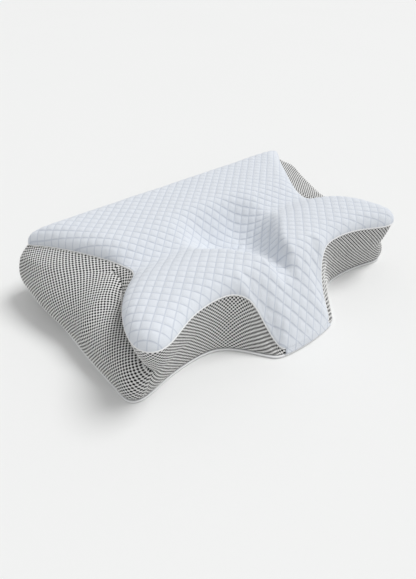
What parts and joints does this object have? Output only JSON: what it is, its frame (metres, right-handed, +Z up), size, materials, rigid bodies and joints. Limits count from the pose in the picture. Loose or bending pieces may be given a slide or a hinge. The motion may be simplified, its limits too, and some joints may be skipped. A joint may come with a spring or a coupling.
{
  "type": "contour memory-foam cervical pillow",
  "caption": "Butterfly-shaped contour foam pillow with head hollow, side cut-outs, front neck lobe and zipped quilted cover.",
  "frame": {"origin": "centre of the flat underside", "axes": "+X along the pillow's length, +Y towards its straight rear edge, +Z up"},
  "size_m": [0.603, 0.3824, 0.116],
  "materials": {
    "quilted_white": "soft knit, quilted in diagonal squares",
    "mesh_grey": "open net yarn over dark backing",
    "bottom_fabric": "plain knit",
    "piping_white": "matt woven cord",
    "liner_knit": "fine plain knit",
    "memory_foam": "matt open-cell foam",
    "zipper_tape": "woven tape",
    "zipper_coil": "satin nylon",
    "zipper_metal": "satin",
    "label_satin": "satin"
  },
  "bodies": {
    "pillow": {"foam_core": "memory_foam", "liner_top": "liner_knit", "liner_bottom": "liner_knit", "cover_top_panel": "quilted_white", "gusset_end_left": "mesh_grey", "gusset_end_right": "mesh_grey", "gusset_front_left": "mesh_grey", "gusset_front_right": "mesh_grey", "gusset_rear": "mesh_grey", "bottom_panel": "bottom_fabric", "piping_upper": "piping_white", "piping_lower": "piping_white", "zipper_tape_upper": "zipper_tape", "zipper_tape_lower": "zipper_tape", "zipper_coil_upper": "zipper_coil", "zipper_coil_lower": "zipper_coil", "zipper_top_stop_upper": "zipper_metal", "zipper_top_stop_lower": "zipper_metal", "zipper_bottom_stop": "zipper_metal", "care_label": "label_satin"},
    "slider": {"zipper_slider": "zipper_metal"},
    "pull": {"zipper_pull": "zipper_metal"}
  },
  "joints": [
    {"name": "slider_slide", "type": "slide", "parent": "pillow", "child": "slider", "axis": [1, 0, 0], "range_m": [-0.254, 0]},
    {"name": "pull_hinge", "type": "hinge", "parent": "slider", "child": "pull", "pos_m": [0.129, 0.188, 0.021], "axis": [0, 0, 1], "range_deg": [-175, 0]}
  ]
}
